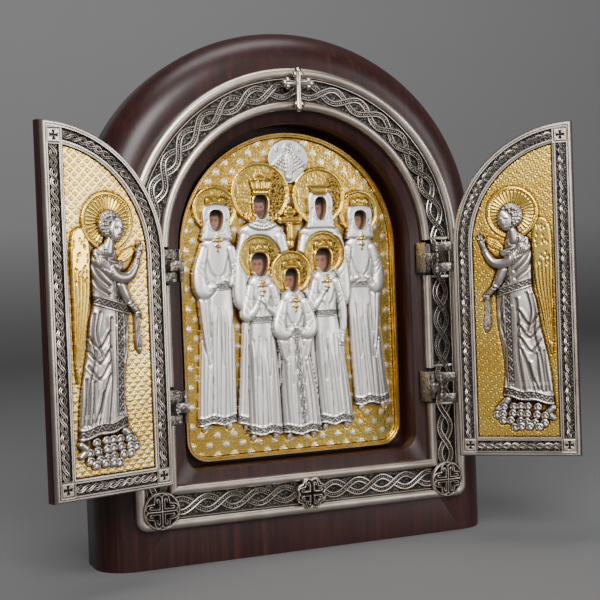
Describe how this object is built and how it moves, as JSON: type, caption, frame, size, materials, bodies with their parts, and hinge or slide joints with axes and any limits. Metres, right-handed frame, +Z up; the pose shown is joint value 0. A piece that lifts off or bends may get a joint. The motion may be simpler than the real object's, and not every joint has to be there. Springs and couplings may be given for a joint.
{
  "type": "folding icon triptych",
  "caption": "Arched wooden case that stands upright, with a recessed relief icon in a silvered knotwork frame and hinged quarter-arch doors with angels in relief.",
  "frame": {"origin": "middle of the underside of the wooden case", "axes": "+Z up, the icon looks along -Y, +X to the right of a person who looks at the icon"},
  "size_m": [0.1852, 0.0685, 0.186],
  "materials": {
    "wood": "dark red-brown stain under an old semi-gloss varnish",
    "dark_wood": "dark, matt",
    "silver": "antique silver plate, blackened in the hollows",
    "gilt": "gold plate with silvered figures, darkened in the hollows",
    "steel": "hammered, dark silver"
  },
  "bodies": {
    "case": {"wooden_case": "wood", "painted_icon_board": "dark_wood", "icon_cover": "gilt", "icon_rim": "gilt", "case_frame": "silver", "top_cross": "silver", "left_boss": "silver", "right_boss": "silver", "centre_boss": "silver", "left_upper_case_leaf": "steel", "left_upper_pin": "steel", "left_lower_case_leaf": "steel", "left_lower_pin": "steel", "right_upper_case_leaf": "steel", "right_upper_pin": "steel", "right_lower_case_leaf": "steel", "right_lower_pin": "steel"},
    "left_door": {"left_door_panel": "wood", "left_door_frame": "silver", "left_door_relief": "gilt", "left_upper_door_leaf": "steel", "left_lower_door_leaf": "steel"},
    "right_door": {"right_door_panel": "wood", "right_door_frame": "silver", "right_door_relief": "gilt", "right_upper_door_leaf": "steel", "right_lower_door_leaf": "steel"}
  },
  "joints": [
    {"name": "left_door_hinge", "type": "hinge", "parent": "case", "child": "left_door", "pos_m": [-0.0501, -0.0215, 0.079], "axis": [0, 0, -1], "range_deg": [-163.5, 16.5]},
    {"name": "right_door_hinge", "type": "hinge", "parent": "case", "child": "right_door", "pos_m": [0.0501, -0.0215, 0.079], "axis": [0, 0, 1], "range_deg": [-142.2, 37.8]}
  ]
}
